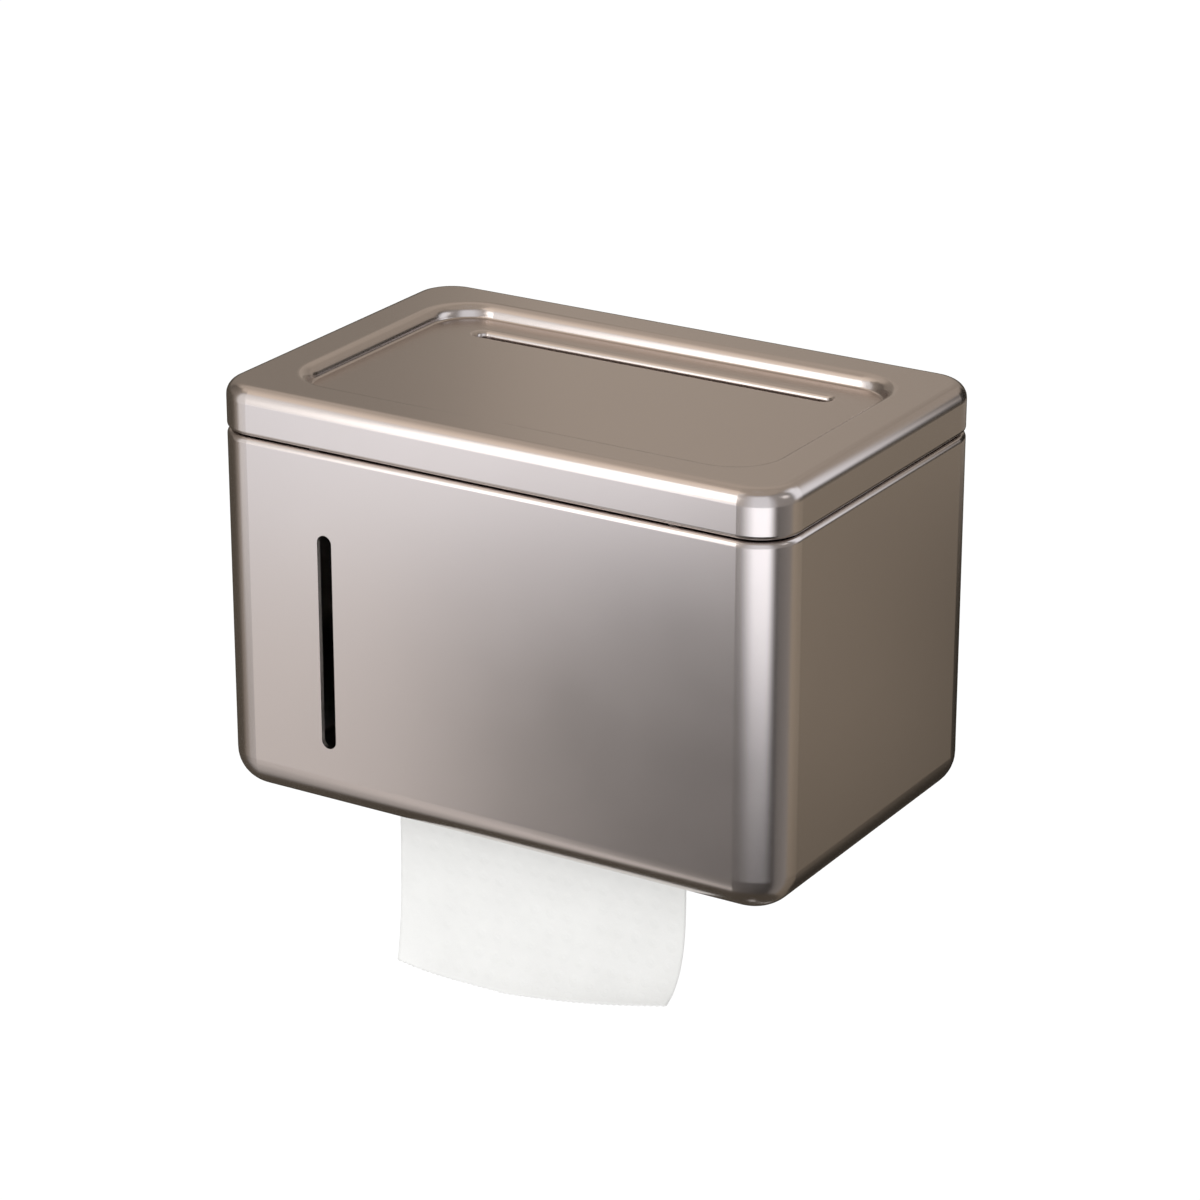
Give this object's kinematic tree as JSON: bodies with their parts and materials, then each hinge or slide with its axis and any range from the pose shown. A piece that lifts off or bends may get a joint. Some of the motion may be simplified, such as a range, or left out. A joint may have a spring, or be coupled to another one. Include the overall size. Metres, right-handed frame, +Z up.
{
  "type": "toilet roll holder with lid",
  "caption": "Wall box for one toilet roll: hinged lid with a shallow phone tray and groove, sight window, paper slot underneath, sprung spindle on two brackets.",
  "frame": {"origin": "centre of the four wall fixing holes, on the back wall's outer face", "axes": "+Z up, +Y into the wall, +X to the right for a person who faces the holder"},
  "size_m": [0.19, 0.1218, 0.1859],
  "materials": {
    "satin_steel": "fine bead-blasted satin, warm grey",
    "moulded_guide": "fine moulded texture, black",
    "rest_pad": "clear silicone, matt",
    "bracket_steel": "plain rolled sheet",
    "rivet_metal": "bright drawn",
    "hinge_steel": "pressed and tumbled",
    "pin_steel": "ground",
    "spindle_plastic": "moulded, light grey white",
    "spring_steel": "drawn wire",
    "roll_card": "grey-brown card",
    "roll_tissue": "soft tissue, white"
  },
  "bodies": {
    "housing": {"body_shell": "satin_steel", "paper_slot_guide": "moulded_guide", "lid_pads": "rest_pad", "roll_bracket_left": "bracket_steel", "roll_bracket_right": "bracket_steel", "bracket_rivets": "rivet_metal", "hinge_body_leaf_left": "hinge_steel", "hinge_body_leaf_right": "hinge_steel", "hinge_pin_left": "pin_steel", "hinge_pin_right": "pin_steel", "hinge_rivets": "rivet_metal", "spindle_sleeve": "spindle_plastic", "spindle_spring": "spring_steel", "paper_tail": "roll_tissue"},
    "lid": {"lid_shell": "satin_steel", "hinge_lid_leaf_left": "hinge_steel", "hinge_lid_leaf_right": "hinge_steel"},
    "plunger": {"spindle_plunger": "spindle_plastic"},
    "roll": {"roll_core": "roll_card", "roll_paper": "roll_tissue"}
  },
  "joints": [
    {"name": "lid_hinge", "type": "hinge", "parent": "housing", "child": "lid", "pos_m": [0, -0.0046, 0.07025], "axis": [-1, 0, 0], "range_deg": [0, 85]},
    {"name": "roll_spin", "type": "hinge", "parent": "housing", "child": "roll", "pos_m": [0, -0.0609, 0.0045], "axis": [1, 0, 0], "continuous": true},
    {"name": "spindle_push", "type": "slide", "parent": "housing", "child": "plunger", "axis": [-1, 0, 0], "range_m": [0, 0.008], "stiffness_N_per_m": 600, "springref_m": -0.008, "deforming": ["spindle_spring"]}
  ]
}
